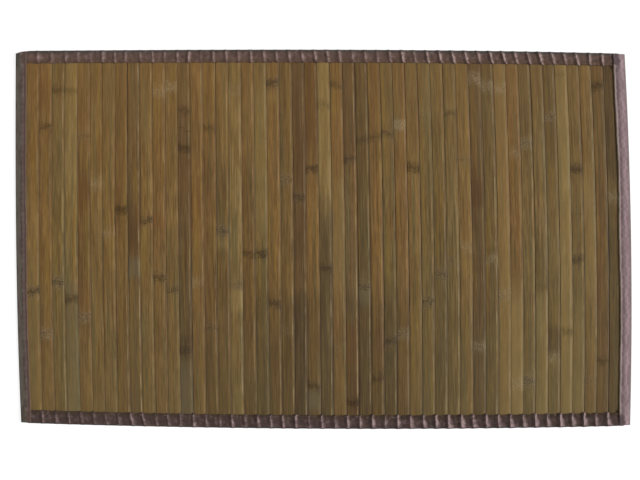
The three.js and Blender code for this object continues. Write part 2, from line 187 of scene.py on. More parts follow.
# Stretches of a slat where the cane's colour changes. A row says where it starts and ends,
# measured down from the mat's top edge, how ruddy, dark, pale or grey it turns there, and over
# what length it fades at either end.
Stain = namedtuple("Stain", "slat start end ruddy dark pale grey fade", defaults=(0, 0, 0, 0, 60))
STAINS = [
    Stain(1, 210, 540, pale=0.15),
    Stain(2, 42, 84, ruddy=0.35, fade=14),
    Stain(4, 20, 200, pale=0.2),
    Stain(4, 323, 540, grey=0.4, fade=14),
    Stain(5, 150, 340, dark=0.25),
    Stain(5, 183, 225, ruddy=0.5, fade=14),
    Stain(5, 320, 362, ruddy=0.25, fade=24),
    Stain(8, -60, 600, dark=0.2),
    Stain(9, 205, 281, ruddy=0.4, dark=0.4, fade=40),
    Stain(9, 288, 316, grey=0.6, fade=14),
    Stain(11, 225, 246, ruddy=0.5, fade=14),
    Stain(13, 140, 211, ruddy=0.35, fade=40),
    Stain(13, 100, 600, dark=0.3),
    Stain(13, 392, 430, dark=0.6, fade=14),
    Stain(13, 432, 520, grey=0.5, fade=30),
    Stain(15, 160, 600, dark=0.33),
    Stain(16, 160, 600, dark=0.3),
    Stain(16, 262, 275, pale=0.25, fade=14),
    Stain(17, 330, 360, pale=0.35, fade=14),
    Stain(18, 160, 600, dark=0.3),
    Stain(19, 330, 600, dark=0.4),
    Stain(19, 40, 250, pale=0.25),
    Stain(20, 60, 72, pale=0.25, fade=14),
    Stain(20, 330, 600, dark=0.33),
    Stain(21, -60, 330, dark=0.25),
    Stain(21, 330, 600, dark=0.5),
    Stain(22, -60, 330, dark=0.4, ruddy=0.25),
    Stain(22, 330, 600, dark=0.65),
    Stain(23, -60, 150, dark=0.35, ruddy=0.4),
    Stain(23, 330, 600, dark=0.33),
    Stain(23, 470, 496, grey=0.7, fade=14),
    Stain(24, -60, 200, pale=0.25),
    Stain(24, 220, 600, grey=0.1, dark=0.65),
    Stain(25, 170, 340, pale=0.25),
    Stain(26, -60, 150, dark=0.3),
    Stain(26, 340, 600, dark=0.4),
    Stain(26, 380, 436, ruddy=0.6, fade=14),
    Stain(26, 440, 505, ruddy=0.5, dark=0.55, fade=14),
    Stain(27, -60, 330, dark=0.45),
    Stain(27, 330, 600, dark=0.6),
    Stain(27, 330, 351, grey=0.5, fade=14),
    Stain(28, -60, 150, dark=0.2),
    Stain(28, 330, 600, dark=0.45),
    Stain(29, 330, 600, dark=0.45),
    Stain(30, 330, 600, dark=0.33),
    Stain(33, 200, 600, dark=0.25),
    Stain(34, -60, 600, dark=0.25),
    Stain(36, -60, 600, dark=0.3),
    Stain(36, 176, 218, ruddy=0.4, dark=0.5, fade=14),
    Stain(36, 281, 309, ruddy=0.3, dark=0.5, fade=14),
    Stain(37, -60, 600, dark=0.2),
    Stain(38, -60, 600, pale=0.25),
    Stain(39, 330, 600, pale=0.45),
    Stain(40, -60, 150, dark=0.25),
    Stain(41, -60, 340, dark=0.25),
    Stain(41, 330, 600, pale=0.2),
    Stain(42, -60, 150, dark=0.33),
    Stain(42, 380, 422, dark=0.5, fade=14),
    Stain(43, -60, 600, pale=0.3),
    Stain(44, 350, 600, pale=0.2),
    Stain(45, 170, 340, pale=0.3),
    Stain(46, -60, 600, dark=0.35),
    Stain(47, -60, 180, dark=0.7),
    Stain(47, 180, 600, dark=0.45),
]

rng = np.random.default_rng(47)
slot_of = {part["node"]: part["material_slot"] for part in frame["record"]["subparts"]}
slat_count = sum(name.startswith("slat_") for name in frame["nodes"])


def mix(start, end, share):
    return start + (end - start) * share


def smooth_step(share):
    share = np.clip(share, 0, 1)
    return share * share * (3 - 2 * share)


def hill(offset, reach):
    """A smooth hill, 1 at its middle and nearly 0 at twice its reach."""
    return np.exp(-((offset / reach) ** 2))


def bow_at(side, along):
    """How far a side bows out at a place along it, from -1 at one end to 1 at the other."""
    bow = BOWS[side]
    return bow.depth * (1 - along**2) * (1 + bow.skew * along)


def bend(x, y):
    """Leans and bows points of the even rectangle."""
    u = x / HALF_LENGTH
    v = y / HALF_WIDTH
    sideways = mix(-bow_at("left", v), bow_at("right", v), (1 + u) / 2)
    lengthways = mix(-bow_at("bottom", u), bow_at("top", u), (1 + v) / 2)
    return x - LEAN / 2 * v + sideways, y + lengthways


def outline_centre():
    """Middle of the box round the bent outline."""
    along = np.linspace(-1, 1, OUTLINE_STEPS + 1)
    side_x, _ = bend(np.concatenate([along * 0 - HALF_LENGTH, along * 0 + HALF_LENGTH]),
                     np.tile(HALF_WIDTH * along, 2))
    _, end_y = bend(np.tile(HALF_LENGTH * along, 2),
                    np.concatenate([along * 0 - HALF_WIDTH, along * 0 + HALF_WIDTH]))
    return (side_x.min() + side_x.max()) / 2, (end_y.min() + end_y.max()) / 2


centre_x, centre_y = outline_centre()


def lay(x, y, z):
    """Carries points of the even rectangle to metres where they lie on the real mat."""
    bent_x, bent_y = bend(x, y)
    return np.column_stack([bent_x - centre_x, bent_y - centre_y, z]) * MM


def joint_place(joint, y):
    """Place across the mat of the joint to the right of a slat."""
    top, bottom = (np.interp(joint, list(JOINT_DRIFT), drift) for drift in zip(*JOINT_DRIFT.values()))
    down_share = (HALF_WIDTH - y) / (2 * HALF_WIDTH)
    return -HALF_LENGTH + FIRST_JOINT + SLAT_PITCH * (joint - 1) + mix(top, bottom, down_share)


def waver(along, wave):
    """The height of a slow uneven wave, begun anywhere."""
    height = 0
    for length in wave.lengths:
        height = height + np.sin(2 * np.pi * (along / length + rng.random())) / len(wave.lengths)
    return wave.size * height


def half_gap(joint, y):
    top, bottom = PARTED.get(joint, (0, 0))
    return (SLAT_GAP + mix(bottom, top, (HALF_WIDTH + y) / (2 * HALF_WIDTH))) / 2


def slat_edges(slat, y):
    """Left and right edge of a slat, half a gap inside each joint."""
    left = joint_place(slat - 1, y) + half_gap(slat - 1, y)
    right = joint_place(slat, y) - half_gap(slat, y)
    if slat == 1:
        left = -HALF_LENGTH + FIRST_SLAT_EDGE + y * 0
    if slat == slat_count:
        right = HALF_LENGTH - LAST_SLAT_EDGE + y * 0
    return left + waver(y, EDGE_WAVER), right + waver(y, EDGE_WAVER)


def read_points(piece):
    """A piece's points in millimetres, one column each for x, y and z."""
    points = np.empty(len(piece.data.vertices) * 3)
    piece.data.vertices.foreach_get("co", points)
    return (points.reshape(-1, 3) / MM).T


def write_points(piece, places):
    piece.data.vertices.foreach_set("co", places.astype(np.float32).ravel())
    piece.data.update()


def write_attribute(piece, name, columns):
    """Keeps three numbers for each point, which the materials read."""
    attribute = piece.data.attributes.new(name, "FLOAT_VECTOR", "POINT")
    attribute.data.foreach_set("vector", np.column_stack(columns).astype(np.float32).ravel())


def start_piece(add_primitive, name, **where):
    """Adds a primitive with nothing else selected, and gives its object."""
    bpy.ops.object.select_all(action="DESELECT")
    add_primitive(**where)
    piece = bpy.context.object
    piece.name = name
    piece.data.name = name
    bpy.ops.object.transform_apply(location=True, rotation=True, scale=True)
    return piece


def select_edges(piece, wanted):
    """Selects the edges that wanted() picks by their two ends, in edit mode, and no others."""
    bpy.ops.mesh.select_all(action="DESELECT")
    shape = bmesh.from_edit_mesh(piece.data)
    for edge in shape.edges:
        edge.select = wanted(*(vertex.co / MM for vertex in edge.verts))
    bmesh.update_edit_mesh(piece.data)


def runs_along(axis):
    """A test for edges that run along one axis."""
    return lambda a, b: abs((a - b).normalized()[axis]) > PARALLEL


def model_slat():
    """One slat of the even pitch, its middle over the origin."""
    half_width = (SLAT_PITCH - SLAT_GAP) / 2
    half_long = HALF_WIDTH - SLAT_END
    slat = start_piece(
        bpy.ops.mesh.primitive_cube_add,
        "slat",
        size=1,
        location=(0, 0, (SLAT_BOTTOM + SLAT_THICKNESS / 2) * MM),
        scale=(2 * half_width * MM, 2 * half_long * MM, SLAT_THICKNESS * MM),
    )
    top = SLAT_BOTTOM + SLAT_THICKNESS
    bpy.ops.object.mode_set(mode="EDIT")
    bpy.ops.mesh.select_mode(type="EDGE")
    select_edges(slat, runs_along(0))
    bpy.ops.mesh.subdivide(number_cuts=CUTS_ACROSS)
    select_edges(slat, runs_along(1))
    bpy.ops.mesh.subdivide(number_cuts=CUTS_ALONG)
    select_edges(slat, lambda a, b: (
        runs_along(1)(a, b) and abs(abs(a.x) - half_width) < TOUCHING and abs(a.z - top) < TOUCHING
    ))
    bpy.ops.mesh.bevel(offset=SLAT_EDGE_ROUND * MM, segments=EDGE_STEPS, affect="EDGES")
    bpy.ops.object.mode_set(mode="OBJECT")
    bpy.ops.object.shade_smooth()
    return slat, half_width


def planing_and_highlight_share(slat, down):
    """How much of the usual fall a slat's right shoulder has, down its length, which also sets the
    strength of its painted highlight.
    """
    return mix(*PLANING_AND_HIGHLIGHT.get(slat, (1, 1)), down / (2 * HALF_WIDTH))


def shoulder_fall(from_left, from_right, planing_and_highlight):
    into_left = smooth_step(1 - from_left / SHOULDER_WIDTH)
    into_right = smooth_step((SHOULDER_WIDTH - from_right) / (SHOULDER_WIDTH - SHOULDER_FLAT))
    return LEFT_FALL * into_left + RIGHT_FALL * planing_and_highlight * into_right


def nearest_knot(slat, down, across):
    """How far below its nearest knot each point lies, and how dark and pale that knot is."""
    if slat not in KNOTS:
        return down * 0 + NO_KNOT, down * 0, down * 0
    places, dark, pale = np.array(KNOTS[slat]).T
    slants = rng.uniform(-KNOT_SLANT, KNOT_SLANT, len(places))
    below = down[:, None] - places + across[:, None] * slants
    nearest = np.abs(below).argmin(axis=1)
    return below[np.arange(len(down)), nearest], dark[nearest], pale[nearest]


def stain_share(slat, down, hue):
    """How strongly a slat is stained with one hue, down its length."""
    share = down * 0
    for stain in STAINS:
        if stain.slat == slat:
            inside = smooth_step((down - stain.start) / stain.fade + 0.5)
            inside = inside * smooth_step((stain.end - down) / stain.fade + 0.5)
            share = np.maximum(share, inside * getattr(stain, hue))
    return share


def linear(hex_colour):
    """An sRGB hex colour as the linear one that a shader takes."""
    channels = [int(hex_colour[place:place + 2], 16) / 255 for place in (1, 3, 5)]
    return (*(c / 12.92 if c <= 0.04045 else ((c + 0.055) / 1.055) ** 2.4 for c in channels), 1)


def set_sockets(tree, node, sockets):
    """Sets each socket of a node to a value, or links it from another socket."""
    for name, value in sockets.items():
        if isinstance(value, bpy.types.NodeSocket):
            tree.links.new(value, node.inputs[name])
        else:
            node.inputs[name].default_value = value


def add(tree, kind, sockets=None, **settings):
    """Adds a node with its settings and its sockets."""
    node = tree.nodes.new(kind)
    for name, value in settings.items():
        setattr(node, name, value)
    set_sockets(tree, node, sockets or {})
    return node


def new_material(name):
    """An empty material, with its tree and its shader."""
    material = bpy.data.materials.new(name)
    material.use_nodes = True
    tree = material.node_tree
    shader = tree.nodes["Principled BSDF"]
    return material, tree, shader


# A noise: its spacing in millimetres along the first and second of a piece's own directions, a
# seed that the piece's number is multiplied by, and how fine and how rough it is
Grain = namedtuple("Grain", "first second seed detail roughness", defaults=(2.0, 0.5))


def noise(tree, place, grain):
    """Noise over a piece's own two directions, other on each piece."""
    scale = (1 / grain.first, 1 / grain.second, grain.seed)
    stretched = add(tree, "ShaderNodeVectorMath", {0: place, 1: scale}, operation="MULTIPLY")
    return add(tree, "ShaderNodeTexNoise", {
        "Vector": stretched.outputs[0], "Scale": 1.0,
        "Detail": grain.detail, "Roughness": grain.roughness,
    }).outputs[0]


# A range: a value that runs from start to end is carried smoothly to a share from low to high
Range = namedtuple("Range", "start end low high", defaults=(0, 1))


def ramp(tree, value, span):
    """Carries a value over a range to its share."""
    return add(tree, "ShaderNodeMapRange", {
        "Value": value, "From Min": span.start, "From Max": span.end,
        "To Min": span.low, "To Max": span.high,
    }, interpolation_type="SMOOTHSTEP").outputs[0]


def sums(tree, operation, first, second):
    return add(tree, "ShaderNodeMath", {0: first, 1: second}, operation=operation).outputs[0]


def blend_colour(tree, share, under, over, way="MIX"):
    """Lays one colour over another by a share."""
    node = add(tree, "ShaderNodeMix", {0: share, 6: under, 7: over}, data_type="RGBA", blend_type=way)
    return node.outputs[2]


def tint(tree, value, span, under, over):
    """Lays one colour over another by a value's share of a range."""
    return blend_colour(tree, ramp(tree, value, span), under, over)


def lighten(tree, light, under):
    """Multiplies a colour by a share of light."""
    grey = add(tree, "ShaderNodeCombineColor", {0: light, 1: light, 2: light}).outputs[0]
    return blend_colour(tree, 1.0, under, grey, "MULTIPLY")


def emboss(tree, relief, depth, strength):
    """Raises a surface by its relief, to a depth in millimetres."""
    sockets = {"Height": relief, "Distance": depth * MM, "Strength": strength}
    return add(tree, "ShaderNodeBump", sockets).outputs[0]


def read_attribute(tree, name):
    """An attribute's numbers, whole and one by one."""
    whole = add(tree, "ShaderNodeAttribute", attribute_name=name).outputs["Vector"]
    return whole, *add(tree, "ShaderNodeSeparateXYZ", {0: whole}).outputs


# Colours of planed bamboo under lacquer: the body of a slat, its darker and its paler streaks
Tone = namedtuple("Tone", "body streak light roughness")
BAMBOO_TONES = {
    "bamboo_straw": Tone("#7b643a", "#66502c", "#8c744a", 0.45),
    "bamboo_honey": Tone("#765b33", "#5f4827", "#866a40", 0.45),
    "bamboo_amber": Tone("#75572f", "#5f4425", "#85653c", 0.45),
    "bamboo_olive": Tone("#6b562f", "#554326", "#7b653c", 0.5),
    "bamboo_umber": Tone("#644c2d", "#4f3a22", "#735b3a", 0.5),
}
RUDDY = linear("#6f4a25")
DARK = linear("#3d2d1b")
PALE = linear("#96804f")
GREY = linear("#655c45")
KNOT_DARK = linear("#31210c")
KNOT_PALE = linear("#ab9b7e")
GOLD = linear("#80652f")
MOSS = linear("#625836")
# Painted highlight of the right shoulders, which face the lamp
SHOULDER_PAINTED_HIGHLIGHT = linear("#a99572")
# Painted shade beside the gaps between slats
EDGE_PAINTED_SHADE = linear("#3c2c16")
TOP_CAST = linear("#806036")
BOTTOM_CAST = linear("#5c5134")

# The grain. Each noise runs across the slat first and then along it. Each range says where on its
# noise, or how far from an edge or a knot in millimetres, a colour sets in and how strongly.
DRIFT = Grain(12, 70, 5.3)
DRIFT_LIGHT = Range(0.35, 0.65, 0, 0.6)
STREAK = Grain(2.2, 80, 3.7, 4.0, 0.6)
STREAK_DARK = Range(0.48, 0.64, 0, 0.8)
STREAK_LIGHT = Range(0.46, 0.32, 0, 0.7)
BAND = Grain(4, 170, 7.7)
BAND_GOLD = Range(0.52, 0.66, 0, 0.65)
BAND_MOSS = Range(0.47, 0.34, 0, 0.65)
RUST = Grain(3.4, 90, 4.9, 3.0)
RUST_RUDDY = Range(0.54, 0.68, 0, 0.5)
FIBRE = Grain(1.2, 22, 9.1, 3.0, 0.6)
FIBRE_LIGHT = Range(0.3, 0.7, 0.76, 1.24)
FIBRE_DEPTH = 0.12
FIBRE_STRENGTH = 0.6
LACQUER_SHINE = 0.3

# The lower end of the mat is duller than the upper one, and stains follow the streaks
TOP_WARMTH = Range(0, 260, 0.3, 0)
BOTTOM_DULLNESS = Range(200, 520, 0, 0.4)
STAIN_PATCHES = Range(0.3, 0.6, 0.55, 1)

# The right shoulder, which faces the lamp, is painted paler in stretches: a painted highlight.
# Beside the gap the slat is painted darker, painted shade of the gap and the steep edge, over a
# narrower strip at the left edge.
STRETCHES = Grain(9, 24, 8.3, 3.0)
ONTO_SHOULDER = Range(1.5, 2.3)
OFF_SHOULDER = Range(2.4, 3.5, 1, 0)
SHOULDER_HIGHLIGHT_PATCHES = Range(0.35, 0.65, 0.05, 0.37)
LEFT_NARROWER = 3.0
EDGE_SHADE_PATCHES = Range(0.65, 0.35, 0.1, 0.8)
FROM_EDGE = Range(0.4, 2.1, 0.33, 0)

# A knot's ring is crooked, with specks round it and a pale patch below it
CROOKED = Grain(6, 8, 1.9)
CROOK = Range(0.2, 0.8, -3, 3)
SPECK = Grain(1.6, 1.8, 2.3)
SPECK_DARK = Range(0.44, 0.56, 0.6, 1)
SPECK_PALE = Range(0.52, 0.42, 0.15, 0.6)
BLOTCH = Grain(5, 5, 6.1)
KNOT_BLOTCHES = Range(0.35, 0.6, 0.5, 1)
KNOT_SPREAD = Range(1, 13, 1, 0)
KNOT_RING = Range(0.5, 5, 1, 0)
RING_SPECKS = Range(0.4, 0.6, 0.6, 0.95)
KNOT_STRENGTH = Range(0, 0.9, 0, 0.75)
KNOT_SUNK = -0.6


def bamboo(name, tone):
    """Planed bamboo under thin satin lacquer: long fibres, streaks, knots and stains, with a painted
    highlight on each right shoulder and painted shade beside the gaps.
    """
    material, tree, shader = new_material(name)
    grain, *_ = read_attribute(tree, "grain")
    _, below_knot, knot_dark, knot_pale = read_attribute(tree, "knot")
    _, ruddy, dark, pale = read_attribute(tree, "stain")
    _, grey, down, planing_and_highlight = read_attribute(tree, "rest")
    _, from_left, from_right, _ = read_attribute(tree, "edge")

    streak = noise(tree, grain, STREAK)
    fibre = noise(tree, grain, FIBRE)
    band = noise(tree, grain, BAND)
    colour = tint(tree, noise(tree, grain, DRIFT), DRIFT_LIGHT, linear(tone.body), linear(tone.light))
    colour = tint(tree, streak, STREAK_DARK, colour, linear(tone.streak))
    colour = tint(tree, streak, STREAK_LIGHT, colour, linear(tone.light))
    colour = tint(tree, band, BAND_GOLD, colour, GOLD)
    colour = tint(tree, band, BAND_MOSS, colour, MOSS)
    colour = tint(tree, noise(tree, grain, RUST), RUST_RUDDY, colour, RUDDY)
    colour = lighten(tree, ramp(tree, fibre, FIBRE_LIGHT), colour)
    colour = tint(tree, down, TOP_WARMTH, colour, TOP_CAST)
    colour = tint(tree, down, BOTTOM_DULLNESS, colour, BOTTOM_CAST)

    patchy = ramp(tree, streak, STAIN_PATCHES)
    for share, hue in ((ruddy, RUDDY), (dark, DARK), (pale, PALE), (grey, GREY)):
        colour = blend_colour(tree, sums(tree, "MULTIPLY", share, patchy), colour, hue)

    # A painted highlight on the right shoulder, in stretches
    stretches = noise(tree, grain, STRETCHES)
    onto = ramp(tree, from_right, ONTO_SHOULDER)
    off = ramp(tree, from_right, OFF_SHOULDER)
    painted_light_share = sums(tree, "MULTIPLY", planing_and_highlight, sums(tree, "MULTIPLY", onto, off))
    painted_light_share = sums(tree, "MULTIPLY", painted_light_share, ramp(tree, stretches, SHOULDER_HIGHLIGHT_PATCHES))
    colour = blend_colour(tree, painted_light_share, colour, SHOULDER_PAINTED_HIGHLIGHT)
    # Painted shade beside the gap, narrower at the left edge
    from_edge = sums(tree, "MINIMUM", sums(tree, "MULTIPLY", from_left, LEFT_NARROWER), from_right)
    edge_shade = ramp(tree, stretches, EDGE_SHADE_PATCHES)
    edge_shade = sums(tree, "MULTIPLY", edge_shade, ramp(tree, from_edge, FROM_EDGE))
    colour = blend_colour(tree, edge_shade, colour, EDGE_PAINTED_SHADE)

    below = sums(tree, "ADD", below_knot, ramp(tree, noise(tree, grain, CROOKED), CROOK))
    away = add(tree, "ShaderNodeMath", {0: below}, operation="ABSOLUTE").outputs[0]
    speck = noise(tree, grain, SPECK)
    blotches = ramp(tree, noise(tree, grain, BLOTCH), KNOT_BLOTCHES)
    near = sums(tree, "MULTIPLY", ramp(tree, away, KNOT_SPREAD), blotches)
    specks = sums(tree, "MULTIPLY", near, ramp(tree, speck, SPECK_DARK))
    paleness = sums(tree, "MULTIPLY", near, ramp(tree, speck, SPECK_PALE))
    colour = blend_colour(tree, sums(tree, "MULTIPLY", paleness, knot_pale), colour, KNOT_PALE)
    ring = sums(tree, "MULTIPLY", ramp(tree, away, KNOT_RING), ramp(tree, speck, RING_SPECKS))
    darkness = sums(tree, "MULTIPLY", sums(tree, "MAXIMUM", ring, specks), knot_dark)
    darkness = ramp(tree, darkness, KNOT_STRENGTH)
    colour = blend_colour(tree, darkness, colour, KNOT_DARK)

    relief = sums(tree, "ADD", fibre, sums(tree, "MULTIPLY", darkness, KNOT_SUNK))
    set_sockets(tree, shader, {
        "Base Color": colour,
        "Normal": emboss(tree, relief, FIBRE_DEPTH, FIBRE_STRENGTH),
        "Roughness": tone.roughness,
        "Specular IOR Level": LACQUER_SHINE,
    })
    return material


bamboo_finishes = {name: bamboo(name, tone) for name, tone in BAMBOO_TONES.items()}
first_slat, template_half = model_slat()
template_x, template_y, template_z = read_points(first_slat)

for slat in range(1, slat_count + 1):
    node = f"slat_{slat:02d}"
    piece = bpy.data.objects.new(f"bamboo_{node}", first_slat.data.copy())
    piece.data.name = piece.name
    bpy.context.collection.objects.link(piece)

    left, right = slat_edges(slat, template_y)
    share = (template_x + template_half) / (2 * template_half)
    across = template_x
    down = HALF_WIDTH - template_y
    below, dark, pale = nearest_knot(slat, down, across)
    upper = smooth_step((template_z - SLAT_BOTTOM) / SLAT_THICKNESS)
    tip, proud = rng.uniform(-1, 1, 2)
    lift = SLAT_TIP * tip * across / template_half + SLAT_PROUD * proud
    lift = lift - SLAT_CROWN * (across / template_half) ** 2 + KNOT_RISE * hill(below, KNOT_REACH)
    from_left = template_half + across
    from_right = template_half - across
    planing_and_highlight = planing_and_highlight_share(slat, down)
    fall = shoulder_fall(from_left, from_right, planing_and_highlight)
    write_points(piece, lay(mix(left, right, share), template_y, template_z + (lift - fall) * upper))

    hues = [stain_share(slat, down, hue) for hue in ("ruddy", "dark", "pale", "grey")]
    write_attribute(piece, "grain", (across, down, down * 0 + slat))
    write_attribute(piece, "knot", (below, dark, pale))
    write_attribute(piece, "stain", hues[:3])
    write_attribute(piece, "rest", (hues[3], down, planing_and_highlight))
    write_attribute(piece, "edge", (from_left, from_right, down * 0))

    piece.data.materials.clear()
    piece.data.materials.append(bamboo_finishes[slot_of[node]])
    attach(piece, "root")
    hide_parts(node)

bpy.data.objects.remove(first_slat)


# Top and bottom bindings
# Strips of plain woven cotton tape, folded over the slats' ends and sewn down. The sewing gathers
# each at every joint between two slats, so it stands in small pleats: a sharp ridge at the joint,
# which falls away to the right. The raw inner edge is turned under.

CLOTH = 1.0
TAPE = 0.85
OVER_SLATS = 4.4
BINDING_TOP = OVER_SLATS + CLOTH
OVER_BINDING = 5.7
END_FOLD_RADIUS = BINDING_TOP / 2
END_BINDING_STOP = 10
LIP = 1.3
LIP_DROP = 0.9
CORNER_REACH = 17
CORNER_FADE = 3
CORNER_LIFT = 1.3
PLEATS_FADE = 4

# The tape stands out a little past the slats' even rectangle, and its left end droops
END_WIDTH = {"top": 18.3, "bottom": 19.0}
END_OUTSET = {"top": 0.5, "bottom": 0.3}
END_DROOP = {"top": 1.4, "bottom": 0}
DROOP_REACH = 14

# A tape's cells, along it and across it, and the shares of those across it at which its lower
# layer and its fold end
Cells = namedtuple("Cells", "along across lower fold")
END_CELLS = Cells(1040, 36, 0.12, 0.4)

# A point's way round the tape counts from 0 to 1 in the fold and on to 2 over the upper layer.
# The fold's painted shade fades out from FOLD_SHADE on, the inner edge's darker tint, partly the
# tape's browner colour and partly painted shade, sets in from INNER_SHADE on, and the ridges poke
# out from POKE_START on. Ribs and wrinkles come up over the first eighth of the upper layer.
FOLD_SHADE = {"top": 0.92, "bottom": 0.85}
FOLD_SHADE_FADE = {"top": 0.34, "bottom": 0.16}
INNER_SHADE = 1.42
POKE_START = 1.8
RELIEF_ONSET = 8

# How much of a pleat's height and slant each part of the tape's section takes. The rows follow
# the tape from its lower inner edge round the outer fold to its upper inner edge: across is
# measured from the inner edge as a share of the straight part, or as an angle in the fold.
TapePart = namedtuple("TapePart", "turn back depth scallop slant")
TAPE_PARTS = [
    TapePart(0.0, 0, 0.0, 0.0, 0.0),
    TapePart(0.25, 0, 0.0, 0.3, 0.3),
    TapePart(0.5, 0, 0.1, 1.0, 1.0),
    TapePart(0.75, 0, 0.6, 0.7, 1.0),
    TapePart(1.0, 0, 0.9, 0.2, 0.85),
    TapePart(1.0, 0.4, 1.0, 0.0, 0.5),
    TapePart(1.0, 0.85, 0.85, 0.0, 0.15),
    TapePart(1.0, 1.0, 0.55, 0.0, 0.0),
]
SCALLOP = 0.45

# The sewn inner edge isn't quite straight
EDGE_FRAY = Wave((23, 9.5, 4.3), 0.5)
EDGE_ZONE = 5

# The pleats. Each row stands at a joint, and those between two rows are in between. A pleat's
# ridge stands right of its joint by its shift, and its outer end leans right by its slant. The
# tape climbs to the ridge from the left over the climb, and falls away to the right over the
# fall, which is wider by the spread at the outer end.
Pleat = namedtuple("Pleat", "joint shift slant height fall spread climb")
TOP_PLEATS = [
    Pleat(1, -3.0, -0.4, 0.45, 5.6, 0.0, 5.0),
    Pleat(3, 1.0, -0.6, 0.45, 5.6, 0.0, 5.0),
    Pleat(4, 1.1, -0.8, 0.45, 5.4, 0.0, 5.0),
    Pleat(7, 0.1, -0.4, 0.5, 4.8, 0.0, 4.6),
    Pleat(8, -2.0, 0.0, 0.5, 4.4, 0.0, 4.4),
    Pleat(9, 1.2, -1.2, 0.55, 4.2, 0.0, 4.2),
    Pleat(13, -2.1, 1.6, 0.55, 4.4, 0.0, 4.4),
    Pleat(16, -2.7, -0.6, 0.6, 4.4, 0.4, 4.4),
    Pleat(24, -1.5, -2.6, 0.7, 4.4, 0.8, 4.6),
    Pleat(28, -2.1, -1.2, 0.75, 4.4, 0.8, 4.6),
    Pleat(33, -1.3, -3.4, 0.85, 4.6, 0.8, 4.8),
    Pleat(38, -0.4, -4.2, 1.0, 4.6, 0.8, 5.0),
    Pleat(42, -0.2, -4.4, 1.0, 4.6, 0.8, 5.0),
    Pleat(44, -0.6, -3.4, 0.9, 4.6, 0.8, 5.0),
    Pleat(45, -0.8, -0.4, 0.9, 3.8, 0.4, 4.4),
    Pleat(46, -0.8, 0.0, 0.9, 3.4, 0.4, 4.4),
]
BOTTOM_PLEATS = [
    Pleat(1, -0.4, 0.4, 0.6, 5.0, 0.6, 4.6),
    Pleat(3, 0.0, 1.6, 0.45, 4.8, 0.6, 4.6),
    Pleat(6, -1.5, 3.6, 0.45, 4.8, 0.8, 4.6),
    Pleat(9, -2.2, 4.0, 0.6, 4.4, 1.0, 4.4),
    Pleat(12, -1.2, 0.8, 0.55, 4.4, 1.4, 4.4),
    Pleat(15, -0.6, 1.4, 0.68, 4.2, 1.8, 4.6),
    Pleat(22, 0.0, 1.4, 0.74, 4.2, 2.6, 5.0),
    Pleat(26, 0.0, 1.0, 0.8, 4.2, 3.6, 5.4),
    Pleat(32, -0.6, 1.4, 1.0, 4.0, 5.6, 6.0),
    Pleat(38, -1.4, 1.6, 1.05, 3.8, 6.6, 6.2),
    Pleat(46, -1.4, 1.6, 1.05, 3.8, 6.2, 6.2),
]
PLEAT_HEIGHT = 1.3
FALL_POWER = 1.4
RIDGE_ROUND = 0.7
# Painted shade on the climb before a ridge, the side away from the lamp, and how far it reaches
CLIMB_PAINTED_SHADE = 0.9
PAINTED_SHADE_REACH = 1.6
UNEVEN_HEIGHT = 0.3
UNEVEN_SHIFT = 0.7
UNEVEN_FALL = 0.25

# A ridge curls right at its inner end, pokes out past the tape's edge and ends in a small knob
# with a hollow beside it
CURL = 1.6
CURL_REACH = 0.14
POKE = {"top": 0.6, "bottom": 1.4}
KNOB = {"beyond": 1.0, "across": 1.6, "reach": 1.3, "height": 1.0}
HOLLOW = {"beyond": 4.4, "across": 2.4, "reach": 1.4, "depth": 0.5}

# Where the tape is bunched: small ridges, placed from the mat's left edge and from the
# binding's inner edge
Bunch = namedtuple("Bunch", "along across reach_along reach_across height")
TOP_BUNCHES = [
    Bunch(234, 2.5, 2.0, 1.6, 0.7),
    Bunch(243, 5.0, 2.2, 1.4, 0.5),
    Bunch(445, 3.0, 2.0, 1.5, 0.8),
    Bunch(450, 6.0, 2.4, 1.6, 0.5),
    Bunch(599, 2.6, 1.8, 1.6, 0.8),
    Bunch(787, 2.2, 1.6, 1.4, 0.7),
]
BOTTOM_BUNCHES = [
    Bunch(470, 3.0, 2.2, 1.6, 0.7),
    Bunch(476, 8.0, 2.4, 2.0, 0.5),
    Bunch(690, 2.4, 2.0, 1.4, 0.6),
]

# The turned-under edge makes a soft rib beside the sewing line, which is drawn down
RIB = {"place": 1.6, "reach": 1.1, "height": 0.25}
SEWING = {"place": 3.6, "reach": 0.9, "depth": 0.25}

# Wrinkles, which begin in the fold and are weaker there
WRINKLES = Wave((31, 12.7, 7.1), 0.14)
WRINKLE_TURN = 9
WRINKLE_START = 0.3
WRINKLE_WEAK = 0.3


def at_joints(rows, column):
    """One column of a pleat table at every joint."""
    joints = np.arange(1, slat_count)
    return np.interp(joints, [row.joint for row in rows], [getattr(row, column) for row in rows])


def wrinkles(along, across, turn, on_top):
    """Fine unevenness of cloth: crossed waves that drift as they run."""
    height = 0
    for length in WRINKLES.lengths:
        phase, tilt = rng.random(), rng.uniform(-1, 1)
        turns = along / length + tilt * across / length + phase
        bent = np.sin(across / length + phase * WRINKLE_TURN)
        height = height + np.sin(2 * np.pi * turns + bent) * length
    share = (turn > WRINKLE_START) * mix(WRINKLE_WEAK, 1, on_top)
    return share * WRINKLES.size * height / sum(WRINKLES.lengths)


def bunched(rows, along, across):
    """Height of the small ridges where the tape is bunched."""
    height = along * 0
    for bunch in rows:
        beside = hill(along - bunch.along, bunch.reach_along)
        height = height + bunch.height * beside * hill(across - bunch.across, bunch.reach_across)
    return height


def tape_grid(name, cells):
    """A flat grid for a tape, and each of its points' share along the tape and across it."""
    tape = start_piece(
        bpy.ops.mesh.primitive_grid_add, name,
        x_subdivisions=cells.along, y_subdivisions=cells.across, size=1,
    )
    x, y, _ = read_points(tape)
    return tape, x * MM + 0.5, y * MM + 0.5


